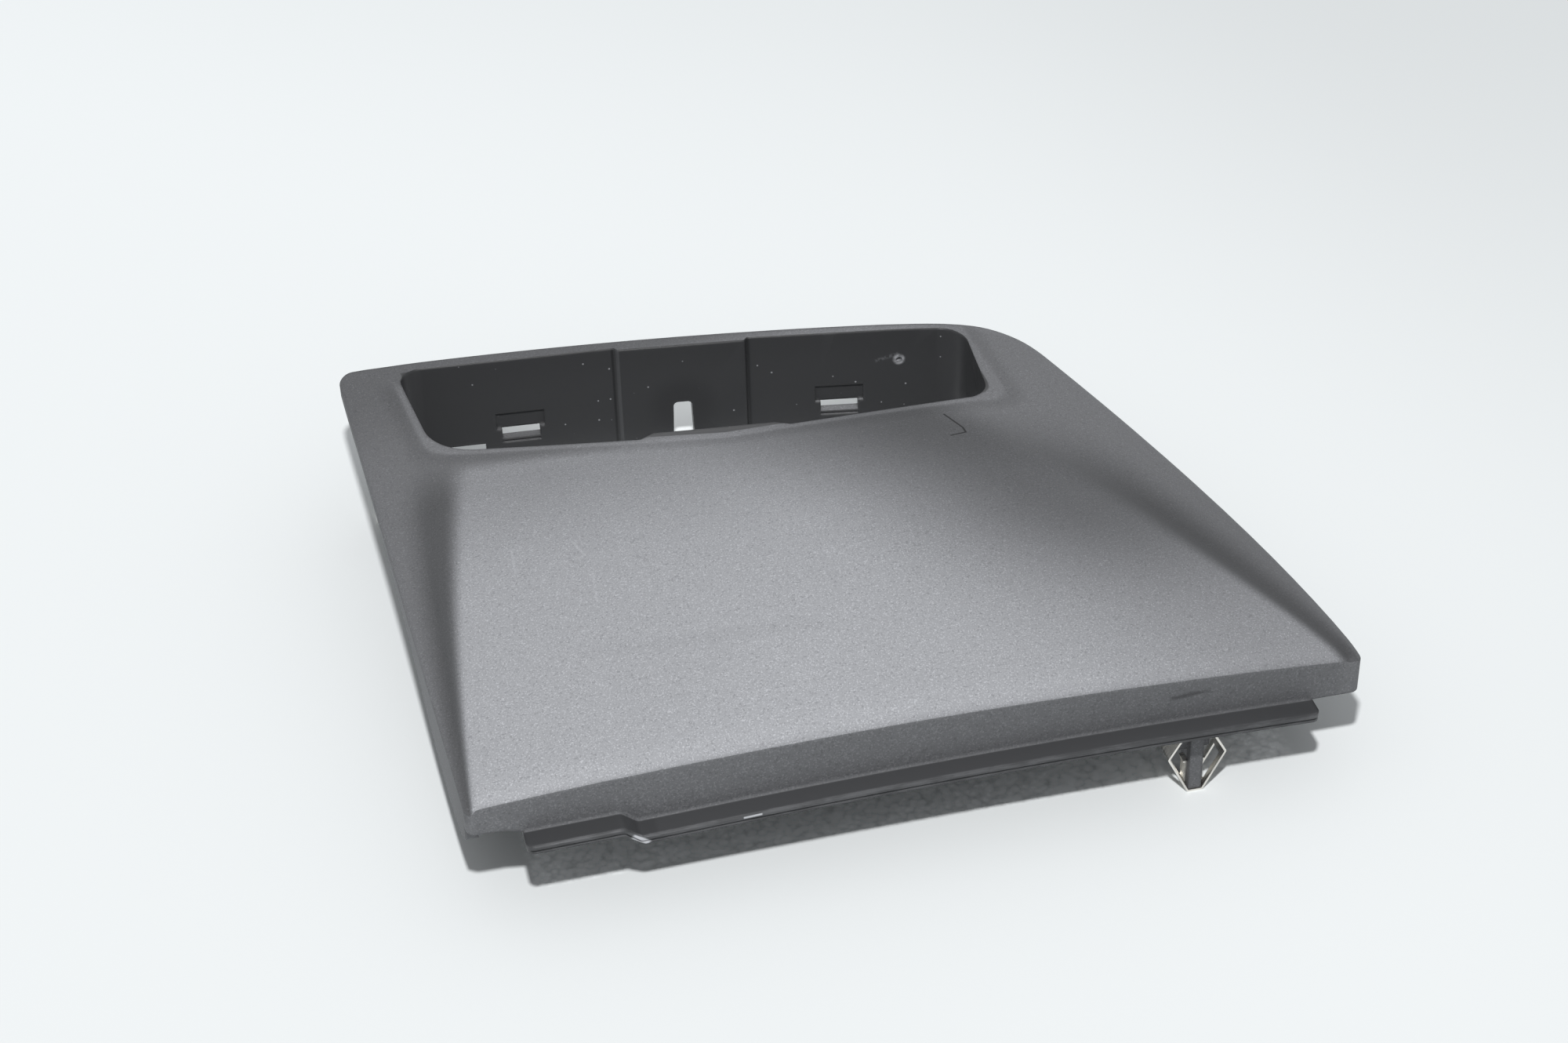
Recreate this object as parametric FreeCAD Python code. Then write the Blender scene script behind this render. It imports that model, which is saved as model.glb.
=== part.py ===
"""Dashboard trim panel round a switch opening, with its sprung steel clips.

X runs along the front edge, Y from the front band to the rear rim, Z up.
The pieces are drawn from the left-hand reading of the front band, then moved so that
the origin is the bottom centre of the whole. Lengths are in millimetres.
"""

import FreeCAD, Part
import math
import os

Vec = FreeCAD.Vector
UP = Vec(0, 0, 1)

# Plan of the panel
LEFT_FRONT_X = -93.2
LEFT_SPLAY = 7.8
RIGHT_FRONT_X = 98.0
RIGHT_SWEEP = 25.4
RIGHT_SWEEP_FROM_REAR = 42.3
RIGHT_SWEEP_POWER = 1.45
PANEL_DEPTH = 162.3
REAR_MIDDLE_X = -20.0
REAR_MIDDLE_DROP = 5.3
REAR_RIGHT_DROP = 20.6
CORNER_REAR_LEFT = 3.5
CORNER_REAR_RIGHT = 20.0
CORNER_FRONT = 2.2

# Skin, walls and their rounded edges
SKIN = 2.5
WALL = 2.4
CREST_ROUND = 2.2
EDGE_ROUND = 1.2
INNER_CORNER_ROUND = 1.2

# Heights of the skin above the resting plane
RIM_HEIGHT = 34.0
CREST_END_HEIGHT = 29.6
CREST_BOW = 4.1
CROWN_RISE = 8.0
CROWN_SIDE_FALL = 0.72
CROWN_LEAN = 1.15
LEFT_EDGE_FRONT = 28.0
LEFT_EDGE_REAR = 34.0
LEFT_EDGE_POWER = 1.5
RIGHT_EDGE_FRONT = 29.0
RIGHT_EDGE_REAR = 31.0
RIGHT_EDGE_POWER = 3.0

# Side facets and the valleys between them and the crowned face
LEFT_FACET_FRONT = 1.0
LEFT_FACET_REAR = 13.0
LEFT_FACET_RISE = 0.5
LEFT_VALLEY_FRONT = 1.2
LEFT_VALLEY_REAR = 5.4
RIGHT_FACET_FRONT = 2.8
RIGHT_FACET_GROWTH = 0.25
RIGHT_FACET_INNER = 29.5
RIGHT_FACET_SWELL_FRONT = 0.3
RIGHT_FACET_SWELL_REAR = 1.9
RIGHT_VALLEY_FRONT = 1.5
RIGHT_VALLEY_MIDDLE = 6.5
BEND_SOFTNESS = 0.28

# Lower edges of the side walls
LEFT_WALL_CORNER = 21.9
LEFT_WALL_LOBE = ((9.0, 15.0), (26.0, 12.9), (46.0, 15.8))
LEFT_WALL_RISE = ((66.0, 22.2), (88.0, 26.8), (116.0, 28.4))
LEFT_WALL_REAR = 30.5
RIGHT_WALL_CORNER = 20.0
RIGHT_WALL_REAR = 23.5
REAR_LIP = 5.0

# Switch opening, at its rim; its front and rear are set from the panel's rear edge
OPENING_LEFT = -87.2
OPENING_RIGHT = 51.5
REAR_FROM_REAR_LEFT = 3.0
REAR_FROM_REAR_RIGHT = 19.1
OPENING_REAR_SAG = 2.7
FRONT_FROM_REAR_LEFT = 40.5
FRONT_FROM_REAR_RIGHT = 51.0
OPENING_LEFT_LEAN = 4.7
OPENING_RIGHT_LEAN = 2.3
STEP_LEFT_X = -33.5
STEP_RIGHT_X = -1.7
STEP_RUN = 0.8
REAR_STEP = 1.1
STEP_FROM_REAR_LEFT = 48.8
STEP_FROM_REAR_RIGHT = 52.0
FRONT_STEP = 2.1
FRONT_STEP_RUN = 3.4
OPENING_ROUND_FRONT_LEFT = 13.0
OPENING_ROUND_REAR_LEFT = 5.0
OPENING_ROUND_RIGHT = 7.0
FRONT_STEP_ROUND = 1.0
REAR_STEP_ROUND = 0.3

# Collar under the opening
COLLAR_FRONT_DEPTH = 11.0
COLLAR_SLOPE_Y = 16.0

# Snap windows, notch and cut-outs in the collar's rear wall
SNAP_LEFT_X = -58.0
SNAP_RIGHT_X = 21.2
SNAP_WIDTH = 9.4
SNAP_LOW = 11.2
SNAP_HEIGHT = 2.7
SNAP_SLIT = 0.5
SNAP_BAR = 0.6
POCKET_WIDTH = 12.0
POCKET_HEIGHT = 4.6
POCKET_DEPTH = 0.5
NOTCH_X = -17.8
NOTCH_WIDTH_TOP = 4.6
NOTCH_WIDTH_BOTTOM = 6.0
NOTCH_HEIGHT = 17.5
NOTCH_ROUND = 1.2
CUTOUT_LEFT_X = -67.0
CUTOUT_RIGHT_X = 31.3
CUTOUT_LENGTH = 14.0
CUTOUT_HEIGHT = 10.2
PIT_X = 36.0
PIT_Z = 25.0
PIT_RADIUS = 0.8
PIT_DEPTH = 0.6

# Front flange under the band
FLANGE_REACH = 5.4
FLANGE_THICK = 1.9
FLANGE_LEFT_X = -82.0
FLANGE_RIGHT_X = 86.9
FLANGE_LEFT_HEIGHT = 20.9
FLANGE_END_HEIGHT = 20.1
FLANGE_MIDDLE_RISE = 1.5
FLANGE_JOG_LOW = 18.6
JOG_X = -60.4
JOG_RUN = 3.4
JOG_BEND = 1.5
JOG_RISE = 2.9
FLANGE_CORNER = 1.8
GROOVE_DEPTH = 0.4
GROOVE_WIDTH = 0.35
GROOVE_DOWN = 1.0
BAND_LEFT_STEP = 4.0
BAND_RIGHT_BOTTOM = 19.9

# Spring clip and the tower that carries it
CLIP_STRIP = 6.0
CLIP_GAUGE = 0.45
CLIP_HALF_WIDTH = 6.6
CLIP_WIDEST_HEIGHT = 9.7
CLIP_FOOT_HALF = 1.75
CLIP_TOP_HEIGHT = 15.6
CLIP_TOP_HALF = 3.3
CLIP_BEND = 0.8
TONGUE_WIDTH = 2.8
TONGUE_HEIGHT = 7.4
LANCE_LOW = 1.5
LANCE_HIGH = 8.4
LANCE_GAP = 0.15
BARB_REACH = 0.5
BARB_HEIGHT = 0.5
BLADE_THICK = 2.9
BLADE_DEEP = 5.4
CLIP_SEAT_GAP = 0.05
TOWER_WIDTH = 9.0
TOWER_DEEP = 7.6
TOWER_FOOT = 17.0
CROSS_HALF = 3.4
CROSS_THICK = 1.4
CROSS_LOW = 10.2
CROSS_HIGH = 13.2

# Places of the clips: x, y and the turn of the strip about Z in degrees
FRONT_CLIP_X = 62.0
FRONT_CLIP_Y = 3.0
HIDDEN_CLIP_X = -62.0
HIDDEN_CLIP_Y = 34.0
REAR_LEFT_CLIP_INSET = 6.7
REAR_LEFT_CLIP_FROM_REAR = 15.3
REAR_RIGHT_CLIP_INSET = 9.5
REAR_RIGHT_CLIP_FROM_REAR = 50.3

# Stiffening ribs under the face
RIB_THICK = 1.3
RIB_DEPTH = 7.0
RIB_ROOT = 0.2
RIB_FIRST_X = -66.0
RIB_PITCH = 33.0
RIB_COUNT = 4

# Working margins of the drawing
OVERHANG = 4.0
CORNER_MARGIN = 0.6
TALL = 80.0
SAME_PLACE = 0.01
SHARP_ROUND = 0.1

# Control points of the skin, as shares of its run
CROWN_PLACES = (0.12, 0.37, 0.63, 0.88)
FACE_ROWS = (0.12, 0.38, 0.65, 0.88, 1.0)
REAR_ROWS = (0.3, 0.65, 1.0)
FACET_BELLY = 0.6
LEFT_SHOULDER = 0.3

# Places that follow the panel's depth
RIGHT_SWEEP_AT = PANEL_DEPTH - RIGHT_SWEEP_FROM_REAR
OPENING_REAR_LEFT = PANEL_DEPTH - REAR_FROM_REAR_LEFT
OPENING_REAR_RIGHT = PANEL_DEPTH - REAR_FROM_REAR_RIGHT
OPENING_FRONT_LEFT = PANEL_DEPTH - FRONT_FROM_REAR_LEFT
OPENING_FRONT_RIGHT = PANEL_DEPTH - FRONT_FROM_REAR_RIGHT
FRONT_STEP_LEFT_Y = PANEL_DEPTH - STEP_FROM_REAR_LEFT
FRONT_STEP_RIGHT_Y = PANEL_DEPTH - STEP_FROM_REAR_RIGHT
REAR_LEFT_CLIP_Y = PANEL_DEPTH - REAR_LEFT_CLIP_FROM_REAR
REAR_RIGHT_CLIP_Y = PANEL_DEPTH - REAR_RIGHT_CLIP_FROM_REAR


def left_edge(y):
    return LEFT_FRONT_X - LEFT_SPLAY * y / PANEL_DEPTH


def right_edge(y):
    return RIGHT_FRONT_X - RIGHT_SWEEP * (max(y, 0.0) / RIGHT_SWEEP_AT) ** RIGHT_SWEEP_POWER


def mix(a, b, share):
    return a + (b - a) * share


def crest_height(x):
    middle = (LEFT_FRONT_X + RIGHT_FRONT_X) / 2
    half = (RIGHT_FRONT_X - LEFT_FRONT_X) / 2
    return CREST_END_HEIGHT + CREST_BOW * (1 - ((x - middle) / half) ** 2)


def row_places(y):
    """Places across one row: facets, valleys and the two ends of the face."""
    share = max(0.0, min(y / OPENING_FRONT_RIGHT, 1.0))
    depth = max(0.0, min(y / PANEL_DEPTH, 1.0))
    swell = 4 * share * (1 - share)
    left_inner = left_edge(y) + mix(LEFT_FACET_FRONT, LEFT_FACET_REAR, depth)
    face_left = left_inner + mix(LEFT_VALLEY_FRONT, LEFT_VALLEY_REAR, share)
    facet = RIGHT_FACET_FRONT + RIGHT_FACET_GROWTH * share * OPENING_FRONT_RIGHT
    right_inner = right_edge(y) - facet
    face_right = right_inner - mix(RIGHT_VALLEY_FRONT, RIGHT_VALLEY_MIDDLE, swell)
    return left_inner, face_left, face_right, right_inner


def face_height(x, y):
    """Crowned face: from the crest over the crown, then level with the rim."""
    share = max(0.0, min(y / OPENING_FRONT_RIGHT, 1.0))
    lean = share ** CROWN_LEAN
    left, right = row_places(y)[1:3]
    across = (2 * x - left - right) / (right - left)
    bulge = CROWN_RISE * 4 * lean * (1 - lean) * (1 - CROWN_SIDE_FALL * across ** 2)
    return mix(crest_height(x), RIM_HEIGHT, share) + bulge


def bend(before, here, after):
    """Three control points that turn a row tightly at one place."""
    return [here + (before - here) * BEND_SOFTNESS, here, here + (after - here) * BEND_SOFTNESS]


def skin_row(y):
    """Control points of the outer skin at one distance from the front band."""
    share = max(0.0, min(y / OPENING_FRONT_RIGHT, 1.0))
    depth = max(0.0, min(y / PANEL_DEPTH, 1.0))
    left, right = left_edge(y), right_edge(y)
    left_inner, face_left, face_right, right_inner = row_places(y)
    left_z = mix(LEFT_EDGE_FRONT, LEFT_EDGE_REAR, depth ** LEFT_EDGE_POWER)
    right_z = mix(RIGHT_EDGE_FRONT, RIGHT_EDGE_REAR, depth ** RIGHT_EDGE_POWER)
    inner_z = left_z + LEFT_FACET_RISE * 4 * depth * (1 - depth)
    valley_z = mix(RIGHT_FACET_INNER, RIM_HEIGHT, share)
    outer_left = Vec(left - OVERHANG, y, left_z - OVERHANG)
    valley_left = Vec(left_inner, y, inner_z)
    start = Vec(face_left, y, face_height(face_left, y))
    end = Vec(face_right, y, face_height(face_right, y))
    valley_right = Vec(right_inner, y, valley_z)
    outer_right = Vec(right + OVERHANG, y, right_z - OVERHANG)
    crown = []
    for part in CROWN_PLACES:
        x = mix(face_left, face_right, part)
        crown.append(Vec(x, y, face_height(x, y)))
    facet_x = mix(right_inner, right, FACET_BELLY)
    swell = mix(RIGHT_FACET_SWELL_FRONT, RIGHT_FACET_SWELL_REAR, depth)
    facet_right = Vec(facet_x, y, mix(valley_z, right_z, FACET_BELLY) + swell)
    row = [outer_left, Vec(left, y, left_z - EDGE_ROUND / 2)]
    row.append(Vec(mix(left, left_inner, LEFT_SHOULDER), y, left_z))
    row += bend(row[-1], valley_left, start)
    row += bend(valley_left, start, crown[0])
    row += crown
    row += bend(crown[-1], end, valley_right)
    row += bend(end, valley_right, facet_right)
    row += [facet_right, Vec(right - EDGE_ROUND, y, right_z)]
    return row + [Vec(right, y, right_z - EDGE_ROUND / 2), outer_right]


def clamped_knots(count, degree):
    inner = count - degree
    return list(range(inner + 1)), [degree + 1] + [1] * (inner - 1) + [degree + 1]


def skin_surface(lowered):
    """Soft surface held by rows of control points, lowered for the inside."""
    rows = [(-OVERHANG, OVERHANG), (0.0, CREST_ROUND / 2), (CREST_ROUND, 0.0)]
    rows += [(share * OPENING_FRONT_RIGHT, 0.0) for share in FACE_ROWS]
    behind = PANEL_DEPTH + OVERHANG - OPENING_FRONT_RIGHT
    rows += [(OPENING_FRONT_RIGHT + share * behind, 0.0) for share in REAR_ROWS]
    poles = [[p - UP * (lowered + fall) for p in skin_row(y)] for y, fall in rows]
    degree = 3
    u_knots, u_mults = clamped_knots(len(rows), degree)
    v_knots, v_mults = clamped_knots(len(poles[0]), degree)
    surface = Part.BSplineSurface()
    surface.buildFromPolesMultsKnots(
        poles, u_mults, v_mults, u_knots, v_knots, False, False, degree, degree)
    return surface


def under_skin(lowered):
    """Everything below the skin surface, down to below the resting plane."""
    return skin_surface(lowered).toShape().extrude(-UP * TALL)


def prism(edges, low, high):
    """Upright solid over a closed outline drawn at height zero."""
    face = Part.Face(Part.Wire(Part.sortEdges(edges)[0]))
    face.translate(UP * low)
    return face.extrude(UP * (high - low))


def curve_through(points):
    curve = Part.BSplineCurve()
    curve.interpolate(points)
    return curve.toShape()


def plan_block(inset):
    """Upright block over the plan of the panel, drawn in by an inset."""
    front_round = max(CORNER_FRONT - inset, INNER_CORNER_ROUND)
    start_y = inset + front_round
    rear_y = PANEL_DEPTH - REAR_RIGHT_DROP
    stations = [mix(start_y, rear_y - inset, part) for part in (0.0, 0.25, 0.5, 0.75, 1.0)]
    right = [Vec(right_edge(y) - inset, y, 0) for y in stations]
    turn = Vec(right[0].x - front_round, start_y, 0)
    corner_start = turn - Vec(0, front_round, 0)
    corner_middle = turn + Vec(1, -1, 0).normalize() * front_round
    rear_left = Vec(left_edge(PANEL_DEPTH) + inset, PANEL_DEPTH - inset, 0)
    rear_middle = Vec(REAR_MIDDLE_X, PANEL_DEPTH - REAR_MIDDLE_DROP - inset, 0)
    front_left = Vec(LEFT_FRONT_X + inset, inset, 0)
    edges = [
        Part.LineSegment(front_left, corner_start).toShape(),
        Part.Arc(corner_start, corner_middle, right[0]).toShape(),
        curve_through(right),
        Part.Arc(right[-1], rear_middle, rear_left).toShape(),
        Part.LineSegment(rear_left, front_left).toShape(),
    ]
    block = prism(edges, -OVERHANG, TALL)
    corners = (
        (front_left, CORNER_FRONT), (right[-1], CORNER_REAR_RIGHT), (rear_left, CORNER_REAR_LEFT),
    )
    for point, radius in corners:
        uprights = [e for e in block.Edges if on_upright(e, point)]
        block = block.makeFillet(max(radius - inset, INNER_CORNER_ROUND), uprights)
    return block


def on_upright(edge, point):
    away = [math.hypot(v.X - point.x, v.Y - point.y) for v in edge.Vertexes]
    return len(away) == 2 and max(away) < SAME_PLACE


def bent_line(path, radius):
    """Straight runs through the points, joined by round bends; the ends stay open."""
    edges = []
    last = path[0]
    for before, here, after in zip(path, path[1:], path[2:]):
        back = (before - here).normalize()
        forth = (after - here).normalize()
        half = back.getAngle(forth) / 2
        reach = radius / math.tan(half)
        toward = (back + forth).normalize()
        middle = here + toward * (radius / math.sin(half) - radius)
        edges.append(Part.LineSegment(last, here + back * reach).toShape())
        edges.append(Part.Arc(here + back * reach, middle, here + forth * reach).toShape())
        last = here + forth * reach
    edges.append(Part.LineSegment(last, path[-1]).toShape())
    return edges


def rounded_outline(corners):
    """Closed outline from (x, y, radius) corners, with tangent arcs at the radii."""
    count = len(corners)
    edges = []
    joints = []
    for i, (x, y, radius) in enumerate(corners):
        here = Vec(x, y, 0)
        before = Vec(*corners[i - 1][:2], 0) - here
        after = Vec(*corners[(i + 1) % count][:2], 0) - here
        half = before.getAngle(after) / 2
        reach = radius / math.tan(half)
        before.normalize()
        after.normalize()
        toward = before + after
        toward.normalize()
        middle = here + toward * (radius / math.sin(half) - radius)
        joints.append((here + before * reach, middle, here + after * reach))
    for i, (start, middle, end) in enumerate(joints):
        edges.append(Part.Arc(start, middle, end).toShape())
        following = joints[(i + 1) % count][0]
        edges.append(Part.LineSegment(end, following).toShape())
    return edges


def rear_line(x):
    """Inner face of the collar's rear wall: y at a place along it, without the step."""
    share = (x - OPENING_LEFT) / (OPENING_RIGHT - OPENING_LEFT)
    bow = 4 * share * (1 - share) * OPENING_REAR_SAG
    return mix(OPENING_REAR_LEFT, OPENING_REAR_RIGHT, share) + bow


def opening_corners(grown):
    """Corners of the opening, grown outwards for the collar's outside."""
    left, right = OPENING_LEFT - grown, OPENING_RIGHT + grown
    low, high = STEP_LEFT_X, STEP_RIGHT_X
    run, short = FRONT_STEP_RUN / 2, STEP_RUN / 2
    step_left, step_right = FRONT_STEP_LEFT_Y - grown, FRONT_STEP_RIGHT_Y - grown
    soft, sharp = FRONT_STEP_ROUND, REAR_STEP_ROUND
    big = OPENING_ROUND_RIGHT + grown
    return [
        (left, rear_line(OPENING_LEFT) + grown, OPENING_ROUND_REAR_LEFT + grown),
        (left + OPENING_LEFT_LEAN, OPENING_FRONT_LEFT - grown, OPENING_ROUND_FRONT_LEFT + grown),
        (low - run, step_left, soft),
        (low + run, step_left + FRONT_STEP, soft),
        (high - run, step_right + FRONT_STEP, soft),
        (high + run, step_right, soft),
        (right - OPENING_RIGHT_LEAN, OPENING_FRONT_RIGHT - grown, big),
        (right, rear_line(OPENING_RIGHT) + grown, big),
        (high + short, rear_line(high) + grown, sharp),
        (high - short, rear_line(high) - REAR_STEP + grown, sharp),
        (low + short, rear_line(low) - REAR_STEP + grown, sharp),
        (low - short, rear_line(low) + grown, sharp),
    ]


def opening_block(grown):
    return prism(rounded_outline(opening_corners(grown)), -OVERHANG, TALL)


def profile_along_x(points, x_low, x_high, smooth):
    """Solid below a curve of (y, z) points, between two x values."""
    path = [Vec(x_low, y, z) for y, z in points]
    if smooth:
        top = [curve_through(path)]
    else:
        top = [Part.LineSegment(a, b).toShape() for a, b in zip(path, path[1:])]
    last = Vec(x_low, path[-1].y, -OVERHANG)
    first = Vec(x_low, path[0].y, -OVERHANG)
    sides = [(path[-1], last), (last, first), (first, path[0])]
    edges = top + [Part.LineSegment(a, b).toShape() for a, b in sides]
    face = Part.Face(Part.Wire(Part.sortEdges(edges)[0]))
    return face.extrude(Vec(x_high - x_low, 0, 0))


def below_side_walls():
    """What is cut away under the side walls and under the rear lip."""
    behind = PANEL_DEPTH + OVERHANG
    last_z = LEFT_WALL_REAR
    points = [(0.0, LEFT_WALL_CORNER)] + list(LEFT_WALL_LOBE + LEFT_WALL_RISE)
    left = profile_along_x(points + [(behind, last_z)], left_edge(behind) - OVERHANG,
                           LEFT_FRONT_X + WALL + CORNER_MARGIN, True)
    middle = profile_along_x([
        (OPENING_FRONT_LEFT, RIM_HEIGHT - REAR_LIP), (behind, RIM_HEIGHT - REAR_LIP),
    ], left_edge(behind) - OVERHANG, OPENING_RIGHT, False)
    right = profile_along_x([
        (WALL, RIGHT_WALL_CORNER), (behind, RIGHT_WALL_REAR),
    ], OPENING_RIGHT - CORNER_MARGIN, RIGHT_FRONT_X + OVERHANG, False)
    return [left, middle, right]


def flange_top(x):
    """Height of the flange's top face right of the jog."""
    share = (x - JOG_X) / (FLANGE_RIGHT_X - JOG_X)
    bow = 4 * share * (1 - share) * FLANGE_MIDDLE_RISE
    return mix(FLANGE_JOG_LOW, FLANGE_END_HEIGHT, share) + bow


def flange_run(drop):
    """Run of the flange seen from the front, left to right, lowered by a drop."""
    jog_left, jog_right = JOG_X - JOG_RUN / 2, JOG_X + JOG_RUN / 2
    settle = jog_right + JOG_RUN
    left_end = Vec(FLANGE_LEFT_X, 0, FLANGE_LEFT_HEIGHT - drop)
    jog_start = Vec(jog_left, 0, FLANGE_JOG_LOW + JOG_RISE - drop)
    jog_end = Vec(jog_right, 0, flange_top(jog_right) - drop)
    settled = Vec(settle, 0, flange_top(settle) - drop)
    middle_x = (JOG_X + FLANGE_RIGHT_X) / 2
    middle = Vec(middle_x, 0, flange_top(middle_x) - drop)
    right_end = Vec(FLANGE_RIGHT_X, 0, FLANGE_END_HEIGHT - drop)
    edges = bent_line([left_end, jog_start, jog_end, settled], JOG_BEND)
    edges.append(Part.Arc(settled, middle, right_end).toShape())
    return edges, left_end, right_end


def flange_layer(high, low, front, back):
    """Solid between two drops of the flange's run, from one y to another."""
    top, top_left, top_right = flange_run(high)
    bottom, bottom_left, bottom_right = flange_run(low)
    ends = [
        Part.LineSegment(top_left, bottom_left).toShape(),
        Part.LineSegment(top_right, bottom_right).toShape(),
    ]
    face = Part.Face(Part.Wire(Part.sortEdges(top + bottom + ends)[0]))
    face.translate(Vec(0, front, 0))
    return face.extrude(Vec(0, back - front, 0))


def flange():
    """Ledge that stands forward of the band, with a jog and a grooved outer edge."""
    plate = flange_layer(0, FLANGE_THICK, -FLANGE_REACH, WALL)
    uprights = []
    for edge in plate.Edges:
        points = [v.Point for v in edge.Vertexes]
        at_front = len(points) == 2 and all(abs(p.y + FLANGE_REACH) < SAME_PLACE for p in points)
        if at_front and abs(points[0].x - points[1].x) < SAME_PLACE:
            uprights.append(edge)
    plate = plate.makeFillet(FLANGE_CORNER, uprights)
    groove_low = GROOVE_DOWN + GROOVE_WIDTH
    outer = -FLANGE_REACH
    groove = flange_layer(GROOVE_DOWN, groove_low, outer - CORNER_MARGIN, outer + GROOVE_DEPTH)
    return plate.cut(groove)


def below_band():
    """What is cut away under the front band, following the flange's underside."""
    run, start, end = flange_run(FLANGE_THICK)
    left_x, right_x = LEFT_FRONT_X - OVERHANG, RIGHT_FRONT_X + OVERHANG
    corners = [
        end,
        Vec(FLANGE_RIGHT_X, 0, BAND_RIGHT_BOTTOM),
        Vec(right_x, 0, BAND_RIGHT_BOTTOM),
        Vec(right_x, 0, -OVERHANG),
        Vec(left_x, 0, -OVERHANG),
        Vec(left_x, 0, LEFT_WALL_CORNER),
        Vec(FLANGE_LEFT_X - BAND_LEFT_STEP, 0, LEFT_WALL_CORNER),
        Vec(FLANGE_LEFT_X, 0, FLANGE_LEFT_HEIGHT),
        start,
    ]
    edges = run + [Part.LineSegment(a, b).toShape() for a, b in zip(corners, corners[1:])]
    face = Part.Face(Part.Wire(Part.sortEdges(edges)[0]))
    face.translate(Vec(0, -OVERHANG, 0))
    return face.extrude(Vec(0, OVERHANG + WALL + CORNER_MARGIN, 0))


def collar(outer):
    """Wall round the opening: full depth behind and at the ends, short in front."""
    ring = opening_block(WALL).common(outer)
    wide = 2 * TALL
    floor = Part.makeBox(2 * wide, 2 * wide, OVERHANG, Vec(-wide, 0, -OVERHANG))
    short = RIM_HEIGHT - COLLAR_FRONT_DEPTH
    start = OPENING_FRONT_LEFT
    end = start + COLLAR_SLOPE_Y
    cut = profile_along_x([(0, short), (start, short), (end, 0)], -wide, wide, False)
    return ring.cut(floor.fuse(cut))


def wall_box(x, width, low, height, near, far):
    """Box square to the rear wall at x, from near to far of its inner face."""
    slope = rear_line(x + 0.5) - rear_line(x - 0.5)
    box = Part.makeBox(width, far - near, height, Vec(-width / 2, near, low))
    box.rotate(Vec(0, 0, 0), UP, math.degrees(math.atan(slope)))
    box.translate(Vec(x, rear_line(x), 0))
    return box


def rear_wall_cuts():
    """Snap windows with their pockets, the centre notch, the cut-outs and the pit."""
    near, far = -WALL, 3 * WALL
    cuts = []
    for x in (SNAP_LEFT_X, SNAP_RIGHT_X):
        slit_low = SNAP_LOW - SNAP_BAR - SNAP_SLIT
        pocket_low = SNAP_LOW + SNAP_HEIGHT
        cuts.append(wall_box(x, SNAP_WIDTH, SNAP_LOW, SNAP_HEIGHT, near, far))
        cuts.append(wall_box(x, SNAP_WIDTH, slit_low, SNAP_SLIT, near, far))
        cuts.append(wall_box(x, POCKET_WIDTH, pocket_low, POCKET_HEIGHT, near, POCKET_DEPTH))
    tall = CUTOUT_HEIGHT + OVERHANG
    for x in (CUTOUT_LEFT_X - CUTOUT_LENGTH / 2, CUTOUT_RIGHT_X + CUTOUT_LENGTH / 2):
        cuts.append(wall_box(x, CUTOUT_LENGTH, -OVERHANG, tall, near, far))
    half_low, half_top = NOTCH_WIDTH_BOTTOM / 2, NOTCH_WIDTH_TOP / 2
    outline = rounded_outline([
        (-half_low, -OVERHANG, SHARP_ROUND), (half_low, -OVERHANG, SHARP_ROUND),
        (half_top, NOTCH_HEIGHT, NOTCH_ROUND), (-half_top, NOTCH_HEIGHT, NOTCH_ROUND),
    ])
    notch = prism(outline, 0, 6 * WALL)
    notch.rotate(Vec(0, 0, 0), Vec(1, 0, 0), 90)
    notch.translate(Vec(NOTCH_X, rear_line(NOTCH_X) + 3 * WALL, 0))
    start = Vec(PIT_X, rear_line(PIT_X) - WALL, PIT_Z)
    pit = Part.makeCylinder(PIT_RADIUS, WALL + PIT_DEPTH, start, Vec(0, 1, 0))
    return cuts + [notch, pit]


def ribs(inner):
    """Upright webs under the face, from the band to the collar."""
    webs = []
    deep = under_skin(SKIN + RIB_DEPTH)
    for i in range(RIB_COUNT):
        x = RIB_FIRST_X + i * RIB_PITCH
        length = FRONT_STEP_RIGHT_Y - WALL
        web = Part.makeBox(RIB_THICK, length, TALL, Vec(x - RIB_THICK / 2, WALL / 2, 0))
        webs.append(web.common(inner).cut(deep))
    return webs


def clip_place(x, y, turn):
    return FreeCAD.Placement(Vec(x, y, 0), FreeCAD.Rotation(UP, turn))


def clip_places():
    left_x = left_edge(REAR_LEFT_CLIP_Y) + REAR_LEFT_CLIP_INSET
    right_x = right_edge(REAR_RIGHT_CLIP_Y) - REAR_RIGHT_CLIP_INSET
    return {
        "spring_clip_front_right": clip_place(FRONT_CLIP_X, FRONT_CLIP_Y, 0),
        "spring_clip_front_left": clip_place(HIDDEN_CLIP_X, HIDDEN_CLIP_Y, 0),
        "spring_clip_rear_left": clip_place(left_x, REAR_LEFT_CLIP_Y, 90),
        "spring_clip_rear_right": clip_place(right_x, REAR_RIGHT_CLIP_Y, 90),
    }


def centred_box(width, deep, low, high):
    return Part.makeBox(width, deep, high - low, Vec(-width / 2, -deep / 2, low))


def tower(place, outer):
    """Post from the skin with the thin blade and cross web that the clip grips."""
    post = centred_box(TOWER_WIDTH, TOWER_DEEP, TOWER_FOOT, TALL)
    post.translate(Vec(0, (TOWER_DEEP - BLADE_DEEP) / 2, 0))
    blade = centred_box(BLADE_THICK, BLADE_DEEP, CLIP_GAUGE + CLIP_SEAT_GAP, TALL)
    cross = centred_box(2 * CROSS_HALF, CROSS_THICK, CROSS_LOW, CROSS_HIGH)
    solid = post.fuse([blade, cross])
    solid.Placement = place
    return solid.common(outer)


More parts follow.
